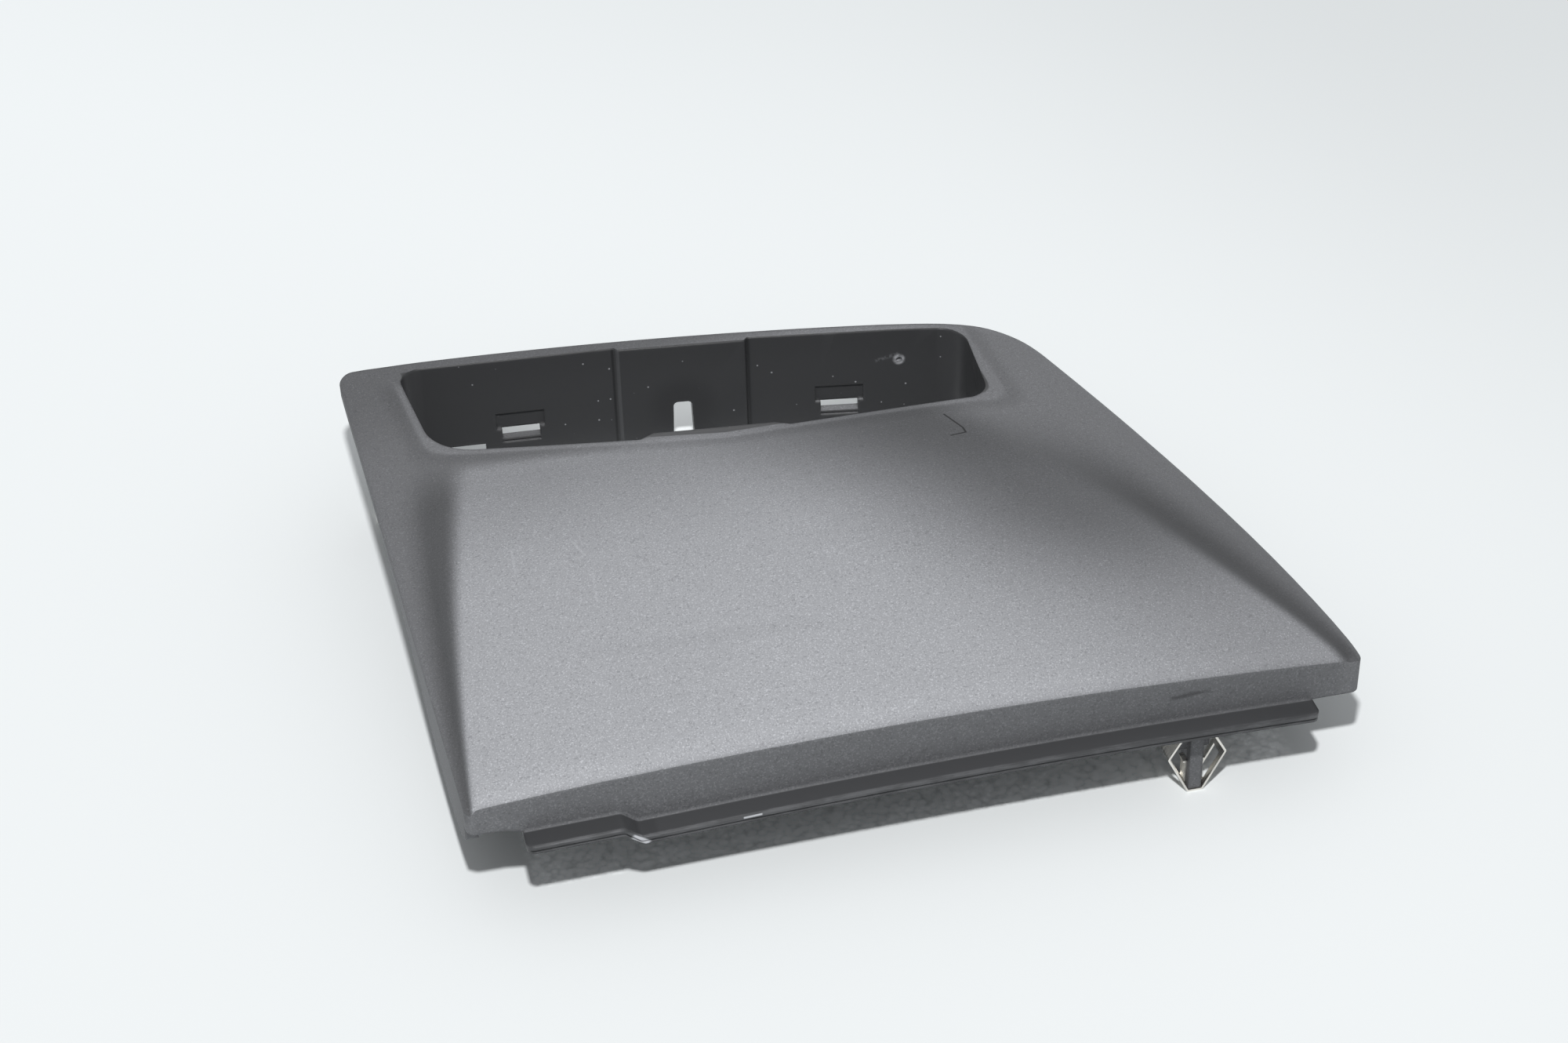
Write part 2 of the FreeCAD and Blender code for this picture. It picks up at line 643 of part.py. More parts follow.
def inside_of(path, gauge):
    """The same path one sheet thickness further in."""
    side = [
        (b - a).normalize().cross(Vec(0, 1, 0)) * gauge
        for a, b in zip(path, path[1:])
    ]
    inner = [path[0] + side[0]]
    for point, before, after in zip(path[1:], side, side[1:]):
        both = before + after
        inner.append(point + both * (2 * gauge ** 2 / both.dot(both)))
    return inner + [path[-1] + side[-1]]


def clip_shape():
    """Folded strip: splayed wings, a flat foot and two lanced tongues with barbs."""
    right = [(CLIP_FOOT_HALF, 0), (CLIP_HALF_WIDTH, CLIP_WIDEST_HEIGHT),
             (CLIP_TOP_HALF, CLIP_TOP_HEIGHT)]
    path = [Vec(-x, 0, z) for x, z in reversed(right)] + [Vec(x, 0, z) for x, z in right]
    inner = inside_of(path, CLIP_GAUGE)
    edges = bent_line(path, CLIP_BEND) + bent_line(inner, CLIP_BEND - CLIP_GAUGE)
    edges.append(Part.LineSegment(path[0], inner[0]).toShape())
    edges.append(Part.LineSegment(path[-1], inner[-1]).toShape())
    face = Part.Face(Part.Wire(Part.sortEdges(edges)[0]))
    face.translate(Vec(0, -CLIP_STRIP / 2, 0))
    clip = face.extrude(Vec(0, CLIP_STRIP, 0))
    lance = centred_box(2 * CLIP_HALF_WIDTH, TONGUE_WIDTH + 2 * LANCE_GAP, LANCE_LOW, LANCE_HIGH)
    clip = clip.cut(lance)
    near = BLADE_THICK / 2 + CLIP_SEAT_GAP
    for side in (-1, 1):
        tongue = Part.makeBox(CLIP_GAUGE, TONGUE_WIDTH, TONGUE_HEIGHT - CLIP_GAUGE,
                              Vec(near, -TONGUE_WIDTH / 2, CLIP_GAUGE))
        barb = Part.makeBox(CLIP_GAUGE + BARB_REACH, TONGUE_WIDTH, BARB_HEIGHT,
                            Vec(near, -TONGUE_WIDTH / 2, TONGUE_HEIGHT - BARB_HEIGHT))
        grip = tongue.fuse(barb)
        if side < 0:
            grip.rotate(Vec(0, 0, 0), UP, 180)
        clip = clip.fuse(grip)
    return clip.removeSplitter()


def moulding(places):
    """The one moulded piece: skin, walls, collar, flange, towers and ribs."""
    outer = under_skin(0).common(plan_block(0)).cut(opening_block(0))
    shell = outer.cut(under_skin(SKIN).common(plan_block(WALL)))
    for cut in below_side_walls() + [below_band()]:
        shell = shell.cut(cut)
    ring = collar(outer)
    for cut in rear_wall_cuts():
        ring = ring.cut(cut)
    added = [ring, flange()]
    added += [tower(place, outer) for place in places.values()]
    added += ribs(under_skin(SKIN - RIB_ROOT))
    return shell.fuse(added).removeSplitter()


def main():
    os.makedirs("parts", exist_ok=True)
    places = clip_places()
    pieces = {"trim_moulding": moulding(places)}
    for name, place in places.items():
        clip = clip_shape()
        clip.Placement = place
        pieces[name] = clip
    middle_x = (left_edge(PANEL_DEPTH - CORNER_REAR_LEFT) + right_edge(CORNER_FRONT)) / 2
    middle_y = (PANEL_DEPTH - FLANGE_REACH) / 2
    to_origin = Vec(-middle_x, -middle_y, 0)
    for name, piece in pieces.items():
        piece = piece.Solids[0] if len(piece.Solids) == 1 else piece
        piece.translate(to_origin)
        print(name, piece.ShapeType, piece.isValid(), len(piece.Solids), round(piece.Volume))
        piece.exportStep("parts/" + name + ".step")


main()
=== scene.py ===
"""Trim panel on a pale table, under one near soft lamp, seen as in the photograph.

Lengths are in metres, apart from the drawing of the panel's surface. That one is in
millimetres: x to the right, y to the rear from the front band's plane, and z up.
A pair of numbers is a range over which something grows or falls.
"""
import math

import bpy
from mathutils import Matrix, Vector

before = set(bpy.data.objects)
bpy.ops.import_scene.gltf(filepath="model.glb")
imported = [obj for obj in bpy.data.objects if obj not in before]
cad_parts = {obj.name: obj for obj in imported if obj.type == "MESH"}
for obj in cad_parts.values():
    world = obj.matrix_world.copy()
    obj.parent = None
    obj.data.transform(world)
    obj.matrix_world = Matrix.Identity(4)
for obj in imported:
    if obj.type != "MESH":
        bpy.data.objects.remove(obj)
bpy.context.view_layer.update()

MM = 0.001
PER_METRE = 1000.0

# Image frame of the photograph and the reading of its camera
IMAGE_WIDTH = 2000
FOCAL_PX = 3626.4
SENSOR = 36.0
CAMERA_AT = Vector((-120.2, -511.9, 401.2)) * MM
CAMERA_DOWN = math.radians(35.0)
CAMERA_TURN = math.radians(13.3)
CAMERA_NEAR = 0.01
PANEL_TILT = math.radians(1.33)

# Lamp near the camera, light of the room, and the card light low behind the panel
LAMP_AT = Vector((-110.2, -451.3, 631.5)) * MM
LAMP_RADIUS = 0.018
LAMP_POWER = 18.7
ROOM_LIGHT = 0.38
ROOM_TINT = (0.97, 0.985, 1.0, 1.0)
GLOSS_LIGHT = 0.9
CARD_AT = Vector((-8.0, 122.0, 24.0)) * MM
CARD_AIM = Vector((0.0, -0.85, -0.55))
CARD_WIDE = 0.105
CARD_TALL = 0.014
CARD_POWER = 0.0034
CARD_SPREAD = math.radians(88)

# Pale table, with its leather grain and a painted lift of light in the shadow under the front
# edge, and painted shade towards the far side and the right
TABLE_SIZE = 6.0
TABLE_SHADE = (0.895, 0.924, 0.931)
TABLE_FAR = (0.12, 0.62)
TABLE_FAR_SHADE = 0.85
TABLE_RIGHT = (0.07, 0.25)
TABLE_RIGHT_SHADE = 0.945
LAMP_FALL_POWER = 3.0
RELIEF_FRONT = (-73.5, -71.5)
RELIEF_REAR = (-40.0, -30.0)
RELIEF_LEFT = (-80.0, -77.0)
RELIEF_RIGHT = (84.0, 90.0)
RELIEF_SCALE = 760.0
RELIEF_DEPTH = 0.65
RELIEF_SHADOW_LIFT = 1.6

# Rounding of the moulding's sharp edges, in the mesh and in the shading
WELD_REACH = 0.00002
EDGE_ROUND = 0.0005
EDGE_ANGLE = math.radians(38)
EDGE_SEGMENTS = 3
SHADE_ROUND = 0.0011
SHADE_SAMPLES = 4

# Drawing of the panel: its place, the face's edges and the opening's rim
ORIGIN_X = 1.455
BAND_Y = -78.45
FACE_DEPTH = 111.3
LEFT_LINE = (-91.8, 0.06, 0.0005)
RIGHT_EDGE = (98.0, -25.4, 120.0, 1.45)
RIGHT_FACET = (2.8, 0.25)
RIM_LEFT = (-67.2, -0.1253)
RIM_RIGHT = (58.4, -0.06)
RIM_REAR = (159.3, -5.3, -10.8)
RIM_WIDE = 138.7
RIM_START = -87.2
RIM_FRONT_LEFT = (107.3, -0.1755)
RIM_FRONT_RIGHT = (110.3, 0.02)
RIM_SOFT = 9.0
WALL = 2.4
WALL_SOFT = 0.3
WALL_FROM_Y = (98.0, 99.0)
WALL_SUNK = (-1.2, -0.8)

# Parts of the moulding, told apart by their place and by where they face
INSIDE_FACING = (0.2, 0.45)
UNDER_FACING = (-0.5, -0.2)
LEDGE_Y = (-0.6, -0.2)
BAND_FACING = (-0.95, -0.22)
BAND_FACING_Y = (3.0, 4.0)
BAND_FOOT_Z = (24.0, 25.5)
BAND_FOOT_Y = (2.0, 3.0)

# Tones of the moulded plastic, as linear reflectance, and where they turn. The skin's tones are
# lit and shaded copies of one plastic: painted sheen on the face, painted light and shade on
# the facets and the rear corner, painted shade in the valleys and on the band
# Face: the skin's tone with painted sheen
FACE_TONE_AND_SHEEN = 0.378
# Facets: painted light and shade, which change to the rear
LEFT_FACET_LIGHT_AND_SHADE = (0.15, 0.118)
LEFT_FACET_Y = (115.0, 150.0)
RIGHT_FACET_LIGHT_AND_SHADE = (0.118, 0.172)
RIGHT_FACET_Y = (30.0, 120.0)
FACETS_MEET_X = (-20.0, 20.0)
# Rear right corner: painted light
REAR_CORNER_LIGHT = 0.198
REAR_CORNER_EDGE = (-3.0, 0.5)
REAR_CORNER_X = (46.0, 62.0)
# Valleys: painted shade
LEFT_VALLEY_SHADE = 0.076
RIGHT_VALLEY_SHADE = 0.037
# Band: painted shade, changing from left to right
BAND_SHADED_TONE = (0.142, 0.118)
BAND_X = (-80.0, 80.0)
INSIDE_TONE = 0.047
FLANGE_TONE = 0.060

# Painted shade: the face's tone falls off to the rear, and aside along a line that leans
FACE_REAR_Y = (60.0, 108.0)
FACE_REAR_SHADE = 0.24
FACE_ASIDE = (20.0, 85.0)
FACE_ASIDE_LEAN = 0.55
FACE_ASIDE_SHADE = 0.67
FACE_ASIDE_Y = (10.0, 60.0)
FACE_ASIDE_LEAST = 0.4
FACE_END_Y = (109.0, 116.0)

# Edges between the face and the valleys, as runs that widen to the rear, and where the painted
# shade in the valleys lies
LEFT_RUN = (4.2, 0.8)
LEFT_EDGE_RUN = (-0.9, 0.9)
LEFT_DARK_START = (-3.0, -1.1)
LEFT_DARK_END = (-0.7, 0.6)
LEFT_DARK_Y = (98.0, 124.0)
RIGHT_RUN = (3.5, 0.8)
RIGHT_EDGE_RUN = (0.0, 4.4)
RIGHT_DARK_START = (-4.8, -0.2)
RIGHT_DARK_END = (0.4, 4.4)
RIGHT_DARK_Y = (50.0, 112.0)
RIGHT_DARK_SHARE = 0.9

# Painted highlight along the opening's rolled lip, and painted shade in the dark trough round
# it
LIP_REAR_Y = (150.0, 156.0)
BEAD_RIM = (1.2, 2.2)
BEAD_X = (38.0, 50.0)
BEAD_SHARE = (0.16, 0.03)
BEAD_HIGHLIGHT = 0.42
TROUGH_START = (1.4, 2.8)
TROUGH_END = (3.4, 7.5)
TROUGH_SHARE = 0.22
TROUGH_SHADE = 0.03

# Grain of the skin: noise scale, detail and roughness, and what the grain does
FINE_NOISE = (2900.0, 1.0)
GRAIN_NOISE = (1700.0, 3.0, 0.6)
CLOUD_NOISE = (16.0, 3.0)
STREAK_NOISE = (420.0, 4.0, 0.65)
STREAK_STRETCH = (0.25, 1.0, 1.0)
SPARK = (0.50, 0.76)
SPARK_GAIN = 0.42
PIT = (0.30, 0.48)
PIT_LOSS = 0.24
GRAIN_LEVEL = 0.93
CLOUD = (0.35, 0.7)
CLOUD_SHARE = 0.09
CLOUD_TONE = 0.2
SKIN_ROUGH = 0.52
FACE_ROUGH = 0.08
GRAIN_ROUGH = 0.14
GLOSS_SMOOTH = 0.20
FACE_METAL = 0.30
SKIN_SPECULAR = 0.3
BUMP_STRENGTH = 0.5
BUMP_DEPTH = 0.00014
BUMP_FINE = 0.6

# Thin marks, each as its two ends, half width, softness, strength and tone
HAIR = (0.34, 0.6, 1.0, 0.02)
SCRATCH = (0.4, 0.6, 0.11, 0.75)
# Painted shade along a step of the rear wall
STEP_SHADE = (0.8, 0.6, 0.012)
FACE_MARKS = (
    ((35.7, 104.7), (38.1, 97.0), *HAIR),
    ((38.1, 97.0), (38.1, 94.6), *HAIR),
    ((38.1, 94.6), (34.3, 93.7), *HAIR),
    ((-71.5, 75.0), (-72.0, 66.0), *SCRATCH),
    ((-58.5, 73.0), (-56.5, 66.5), *SCRATCH),
    ((-56.0, 60.0), (-56.8, 50.0), *SCRATCH),
    ((-62.0, 34.4), (-14.0, 29.6), 3.2, 0.95, 0.06, 0.1),
)
SMUDGE_MARK = ((55.5, 26.6), (63.5, 27.3), 1.0, 0.95, 0.6, 0.03)
SMUDGE_FRONT_Y = (-0.5, -0.1)
SMUDGE_REAR_Y = (0.5, 1.5)
SMUDGE_STREAKS = (0.35, 0.6)
# Pale streaked line along the front edge
FRONT_EDGE_Y = (-5.0, -4.5)
PALE_EDGE_STREAKS = (0.42, 0.62)
PALE_EDGE_SHARE = 0.12
PALE_EDGE_TONE = 0.32
FRONT_MARKS = (
    ((-60.2, 19.0), (-57.6, 17.2), 0.8, 0.6, 0.8, 0.62),
    ((-37.5, 19.1), (-34.0, 19.3), 0.35, 0.6, 0.8, 0.55),
)
# Painted highlight beside the left step, and painted shade along both steps of the rear wall
WALL_STEP_LIGHT_AND_SHADE = (
    ((-33.2, 2.0), (-33.2, 36.0), 0.55, 0.6, 0.5, 0.11),
    ((-34.3, 2.0), (-34.3, 38.0), 0.5, *STEP_SHADE),
    ((-1.3, 2.0), (-1.3, 38.0), 1.0, *STEP_SHADE),
)

# Round marks on the rear wall, as middle and radius: halo, stress mark and its hollow
SPOT_CORE = 0.4
HALO = ((-17.8, 16.0), 11.0)
HALO_SHARE = 0.3
HALO_DARKER = 0.45
RING = ((35.9, 25.2), 1.8)
RING_HOLLOW = ((36.0, 25.0), 0.9)
HOLLOW_SHARE = 0.55
RING_TONE = 0.5
BLOTCH_NOISE = (1100.0, 2.0)
BLOTCH = (0.38, 0.6)
BLOTCH_SHARE = 0.5
STREAK_MARK = ((30.5, 25.2), (35.5, 26.8), 0.8, 0.95, 0.16, 0.42)
DUST_SCALE = 330.0
DUST_SIZE = (0.05, 0.10)
DUST_CHOSEN = (0.55, 0.75)
DUST_SHARE = 0.6
DUST_TONE = 0.5

# Spring steel, with fine lines along the strip
STEEL_TONE = (0.68, 0.86)
STEEL_ROUGH = (0.2, 0.36)
STEEL_NOISE = (900.0, 3.0)
STEEL_STRETCH = (0.15, 6.0, 0.15)
STEEL_TONE_LINES = (0.3, 0.7)
STEEL_ROUGH_LINES = (0.2, 0.8)
STEEL_BUMP = 0.15
STEEL_BUMP_DEPTH = 0.00004

# Tints of the greys, and the colour sockets of the mix node
PLASTIC_TINT = (0.985, 1.0, 1.05)
STEEL_TINT = (1.0, 0.97, 0.91)
MIX_A, MIX_B, MIX_RESULT = 6, 7, 2


def camera():
    """Camera of the photograph, turned into the level panel's own frame."""
    heading = Vector((math.sin(CAMERA_TURN), math.cos(CAMERA_TURN), 0))
    forward = heading * math.cos(CAMERA_DOWN) - Vector((0, 0, math.sin(CAMERA_DOWN)))
    right = Vector((math.cos(CAMERA_TURN), -math.sin(CAMERA_TURN), 0))
    up = right.cross(forward)
    turn = Matrix((right, up, -forward)).transposed()
    level = Matrix.Rotation(PANEL_TILT, 3, "Y")
    data = bpy.data.cameras.new("photo_camera")
    data.sensor_width = SENSOR
    data.lens = FOCAL_PX / IMAGE_WIDTH * SENSOR
    data.clip_start = CAMERA_NEAR
    obj = bpy.data.objects.new("photo_camera", data)
    obj.matrix_world = Matrix.Translation(CAMERA_AT) @ (level @ turn).to_4x4()
    bpy.context.scene.collection.objects.link(obj)
    bpy.context.scene.camera = obj


class Shader:
    """A material's node tree, with short calls for the nodes used here."""

    def __init__(self, name):
        self.material = bpy.data.materials.new(name)
        self.material.use_nodes = True
        self.tree = self.material.node_tree
        self.tree.nodes.clear()
        self.output = self.tree.nodes.new("ShaderNodeOutputMaterial")

    def node(self, kind, values=None, **settings):
        made = self.tree.nodes.new("ShaderNode" + kind)
        for key, value in settings.items():
            setattr(made, key, value)
        for socket, value in (values or {}).items():
            self.put(made.inputs[socket], value)
        return made

    def put(self, socket, value):
        """Link a socket, or set its plain value."""
        if isinstance(value, bpy.types.NodeSocket):
            self.tree.links.new(value, socket)
        else:
            socket.default_value = value

    def math(self, operation, a, b=0.0, c=0.0, clamp=False):
        made = self.node("Math", {0: a, 1: b, 2: c}, operation=operation, use_clamp=clamp)
        return made.outputs[0]

    def add(self, a, b):
        return self.math("ADD", a, b)

    def less(self, a, b):
        return self.math("SUBTRACT", a, b)

    def times(self, *shares):
        result = shares[0]
        for share in shares[1:]:
            result = self.math("MULTIPLY", result, share)
        return result

    def linear(self, value, slope, start):
        """Value times slope, plus start."""
        return self.math("MULTIPLY_ADD", value, slope, start)

    def most(self, a, b):
        return self.math("MAXIMUM", a, b)

    def ramp(self, value, low, high, to_low=0.0, to_high=1.0):
        """Smooth step of a value from one range to another."""
        made = self.node("MapRange", {
            "Value": value, "From Min": low, "From Max": high,
            "To Min": to_low, "To Max": to_high,
        }, interpolation_type="SMOOTHSTEP")
        return made.outputs["Result"]

    def fall(self, value, low, high):
        """Smooth step down from one to nought."""
        return self.ramp(value, low, high, 1.0, 0.0)

    def noise(self, where, scale, detail=2.0, rough=0.5):
        made = self.node("TexNoise", {
            "Vector": where, "Scale": scale, "Detail": detail, "Roughness": rough,
        })
        return made.outputs["Fac"]

    def stretched(self, where, scale):
        return self.node("Mapping", {"Vector": where, "Scale": scale}).outputs[0]

    def axes(self, vector):
        parts = self.node("SeparateXYZ", {0: vector}).outputs
        return parts["X"], parts["Y"], parts["Z"]

    def scaled(self, vector, scale):
        made = self.node("VectorMath", {0: vector}, operation="SCALE")
        self.put(made.inputs["Scale"], scale)
        return made.outputs[0]

    def mix(self, share, a, b):
        made = self.node("Mix", {"Factor": share}, data_type="RGBA")
        self.put(made.inputs[MIX_A], a)
        self.put(made.inputs[MIX_B], b)
        return made.outputs[MIX_RESULT]

    def surface(self, kind, values):
        made = self.node(kind, values)
        self.tree.links.new(made.outputs["BSDF"], self.output.inputs["Surface"])


def grey(level, tint=PLASTIC_TINT):
    return (*(level * part for part in tint), 1.0)


def line_mask(s, x, y, start, end, width, soft):
    """One along a thin line between two places on a plane, nought away from it."""
    (ax, ay), (bx, by) = start, end
    length = math.hypot(bx - ax, by - ay)
    ux, uy = (bx - ax) / length, (by - ay) / length
    along = s.add(s.linear(x, ux, -ax * ux), s.linear(y, uy, -ay * uy))
    across = s.add(s.linear(x, -uy, ax * uy), s.linear(y, ux, -ay * ux))
    inside = s.times(s.ramp(along, -width, 0.0), s.fall(along, length, length + width))
    near = s.fall(s.math("ABSOLUTE", across), width * (1 - soft), width)
    return s.times(inside, near)


def mark(s, x, y, tone, values, *where):
    """Lay one thin mark over a tone, only where all the masks given for it allow it."""
    start, end, width, soft, share, level = values
    mask = line_mask(s, x, y, start, end, width, soft)
    return s.mix(s.times(mask, *where, share), tone, grey(level))


def spot_mask(s, x, y, middle, radius):
    """One inside a round spot on a plane, fading out at its edge."""
    dx, dy = s.less(x, middle[0]), s.less(y, middle[1])
    away = s.math("SQRT", s.add(s.times(dx, dx), s.times(dy, dy)))
    return s.fall(away, radius * SPOT_CORE, radius)


def panel_places(s):
    """The place in metres, the place in the drawing, and where the surface faces."""
    where = s.node("TexCoord").outputs["Object"]
    x, y, z = s.axes(where)
    x = s.linear(x, PER_METRE, -ORIGIN_X)
    y = s.linear(y, PER_METRE, -BAND_Y)
    z = s.times(z, PER_METRE)
    facing = s.axes(s.node("NewGeometry").outputs["Normal"])
    return where, (x, y, z), facing


def rim_distance(s, x, y):
    """Distance outside the opening's rim, and outside its rear line alone."""
    left = s.less(s.linear(y, RIM_LEFT[1], RIM_LEFT[0]), x)
    right = s.less(x, s.linear(y, RIM_RIGHT[1], RIM_RIGHT[0]))
    front_left = s.linear(x, RIM_FRONT_LEFT[1], RIM_FRONT_LEFT[0])
    front_right = s.linear(x, RIM_FRONT_RIGHT[1], RIM_FRONT_RIGHT[0])
    front = s.less(s.most(front_left, front_right), y)
    start, slope, swing = RIM_REAR
    share = s.math("DIVIDE", s.less(x, RIM_START), RIM_WIDE)
    rear = s.less(y, s.linear(s.linear(share, swing, slope), share, start))
    front = s.math("SMOOTH_MAX", front, s.most(left, right), RIM_SOFT)
    return s.most(front, rear), rear


def face_edges(s, x, y):
    """Distances inwards from the face's left edge and from its right valley."""
    base, slope, swing = LEFT_LINE
    left = s.linear(s.linear(y, swing, slope), y, base)
    edge_x, sweep, reach, power = RIGHT_EDGE
    bent = s.math("POWER", s.math("DIVIDE", s.most(y, 0.0), reach), power)
    facet = s.linear(s.math("MINIMUM", y, FACE_DEPTH), RIGHT_FACET[1], RIGHT_FACET[0])
    valley = s.less(s.linear(bent, sweep, edge_x), facet)
    return s.less(x, left), s.less(valley, x)


def skin_tone_and_shade(s, x, y, rear):
    """Tone of the skin from the front crest to the rear rim, with painted sheen, light and
    shade, and the face's share in it.
    """
    from_left, from_right = face_edges(s, x, y)
    depth = s.math("DIVIDE", y, FACE_DEPTH, clamp=True)
    # Painted shade: the face darkens to the rear and to the right
    back = s.linear(s.ramp(y, *FACE_REAR_Y), -FACE_REAR_SHADE, 1.0)
    late = s.linear(s.ramp(y, *FACE_ASIDE_Y), 1.0 - FACE_ASIDE_LEAST, FACE_ASIDE_LEAST)
    lean = s.linear(y, FACE_ASIDE_LEAN, x)
    aside = s.linear(s.times(s.ramp(lean, *FACE_ASIDE), late), -FACE_ASIDE_SHADE, 1.0)
    face = s.mix(s.times(back, aside), grey(0.0), grey(FACE_TONE_AND_SHEEN))

    # Painted light and shade on the facets, and painted light on the rear right corner
    left = s.mix(s.ramp(y, *LEFT_FACET_Y), *map(grey, LEFT_FACET_LIGHT_AND_SHADE))
    right = s.mix(s.ramp(y, *RIGHT_FACET_Y), *map(grey, RIGHT_FACET_LIGHT_AND_SHADE))
    outer = s.mix(s.ramp(x, *FACETS_MEET_X), left, right)
    corner = s.times(s.ramp(rear, *REAR_CORNER_EDGE), s.ramp(x, *REAR_CORNER_X))
    outer = s.mix(corner, outer, grey(REAR_CORNER_LIGHT))

    left_run = s.math("DIVIDE", from_left, s.linear(depth, *LEFT_RUN))
    right_run = s.math("DIVIDE", from_right, s.linear(depth, *RIGHT_RUN))
    on_face = s.times(s.ramp(left_run, *LEFT_EDGE_RUN), s.ramp(right_run, *RIGHT_EDGE_RUN),
                      s.fall(y, *FACE_END_Y))
    tone = s.mix(on_face, outer, face)
    # Painted shade in the left and right valleys
    dark = s.times(s.ramp(left_run, *LEFT_DARK_START), s.fall(left_run, *LEFT_DARK_END),
                   s.fall(y, *LEFT_DARK_Y))
    tone = s.mix(dark, tone, grey(LEFT_VALLEY_SHADE))
    dark = s.times(s.ramp(right_run, *RIGHT_DARK_START), s.fall(right_run, *RIGHT_DARK_END),
                   s.fall(y, *RIGHT_DARK_Y), RIGHT_DARK_SHARE)
    return s.mix(dark, tone, grey(RIGHT_VALLEY_SHADE)), on_face


def lip_highlight_and_shade(s, x, y, rim, tone):
    """Painted highlight on the bead and painted shade in the trough along the opening's lip,
    which end before its rear side.
    """
    before = s.fall(y, *LIP_REAR_Y)
    bead = s.times(s.fall(rim, *BEAD_RIM), before, s.ramp(x, *BEAD_X, *BEAD_SHARE))
    trough = s.times(s.ramp(rim, *TROUGH_START), s.fall(rim, *TROUGH_END), before, TROUGH_SHARE)
    tone = s.mix(bead, tone, grey(BEAD_HIGHLIGHT))
    return s.mix(trough, tone, grey(TROUGH_SHADE))


def face_marks(s, x, y, tone):
    """A hair, faint scratches and a faint wiped band on the face, as in the photograph."""
    for values in FACE_MARKS:
        tone = mark(s, x, y, tone, values)
    return tone


def front_marks(s, x, y, z, streaks, tone):
    """Smudge on the band, pale streaked line along the front edge, scuff at the jog and scratch
    on the flange.
    """
    tone = mark(s, x, z, tone, SMUDGE_MARK, s.ramp(y, *SMUDGE_FRONT_Y),
                s.fall(y, *SMUDGE_REAR_Y), s.ramp(streaks, *SMUDGE_STREAKS))
    at_front = s.fall(y, *FRONT_EDGE_Y)
    # Pale streaked line along the front edge, lighter than the flange
    pale_edge = s.times(at_front, s.ramp(streaks, *PALE_EDGE_STREAKS), PALE_EDGE_SHARE)
    tone = s.mix(pale_edge, tone, grey(PALE_EDGE_TONE))
    for values in FRONT_MARKS:
        tone = mark(s, x, z, tone, values, at_front)
    return tone


def wall_marks_and_shade(s, where, x, z, inside, tone):
    """Halo over the notch, painted highlight and shade at the steps, stress mark and dust on
    the rear wall.
    """
    halo = s.times(spot_mask(s, x, z, *HALO), inside, HALO_SHARE)
    tone = s.mix(halo, tone, grey(INSIDE_TONE * HALO_DARKER))
    # Painted highlight and shade at the wall's steps
    for values in WALL_STEP_LIGHT_AND_SHADE:
        tone = mark(s, x, z, tone, values, inside)
    blotch = s.ramp(s.noise(where, *BLOTCH_NOISE), *BLOTCH)
    hollow = s.times(spot_mask(s, x, z, *RING_HOLLOW), HOLLOW_SHARE)
    ring = s.times(spot_mask(s, x, z, *RING), inside)
    ring = s.math("SUBTRACT", ring, hollow, clamp=True)
    patchy = s.linear(blotch, BLOTCH_SHARE, 1.0 - BLOTCH_SHARE)
    tone = s.mix(s.times(ring, patchy), tone, grey(RING_TONE))
    tone = mark(s, x, z, tone, STREAK_MARK, inside, blotch)
    speck = s.node("TexVoronoi", {"Vector": where, "Scale": DUST_SCALE})
    chosen = s.axes(speck.outputs["Color"])[0]
    dust = s.times(s.fall(speck.outputs["Distance"], *DUST_SIZE),
                   s.ramp(chosen, *DUST_CHOSEN), inside, DUST_SHARE)
    return s.mix(dust, tone, grey(DUST_TONE))


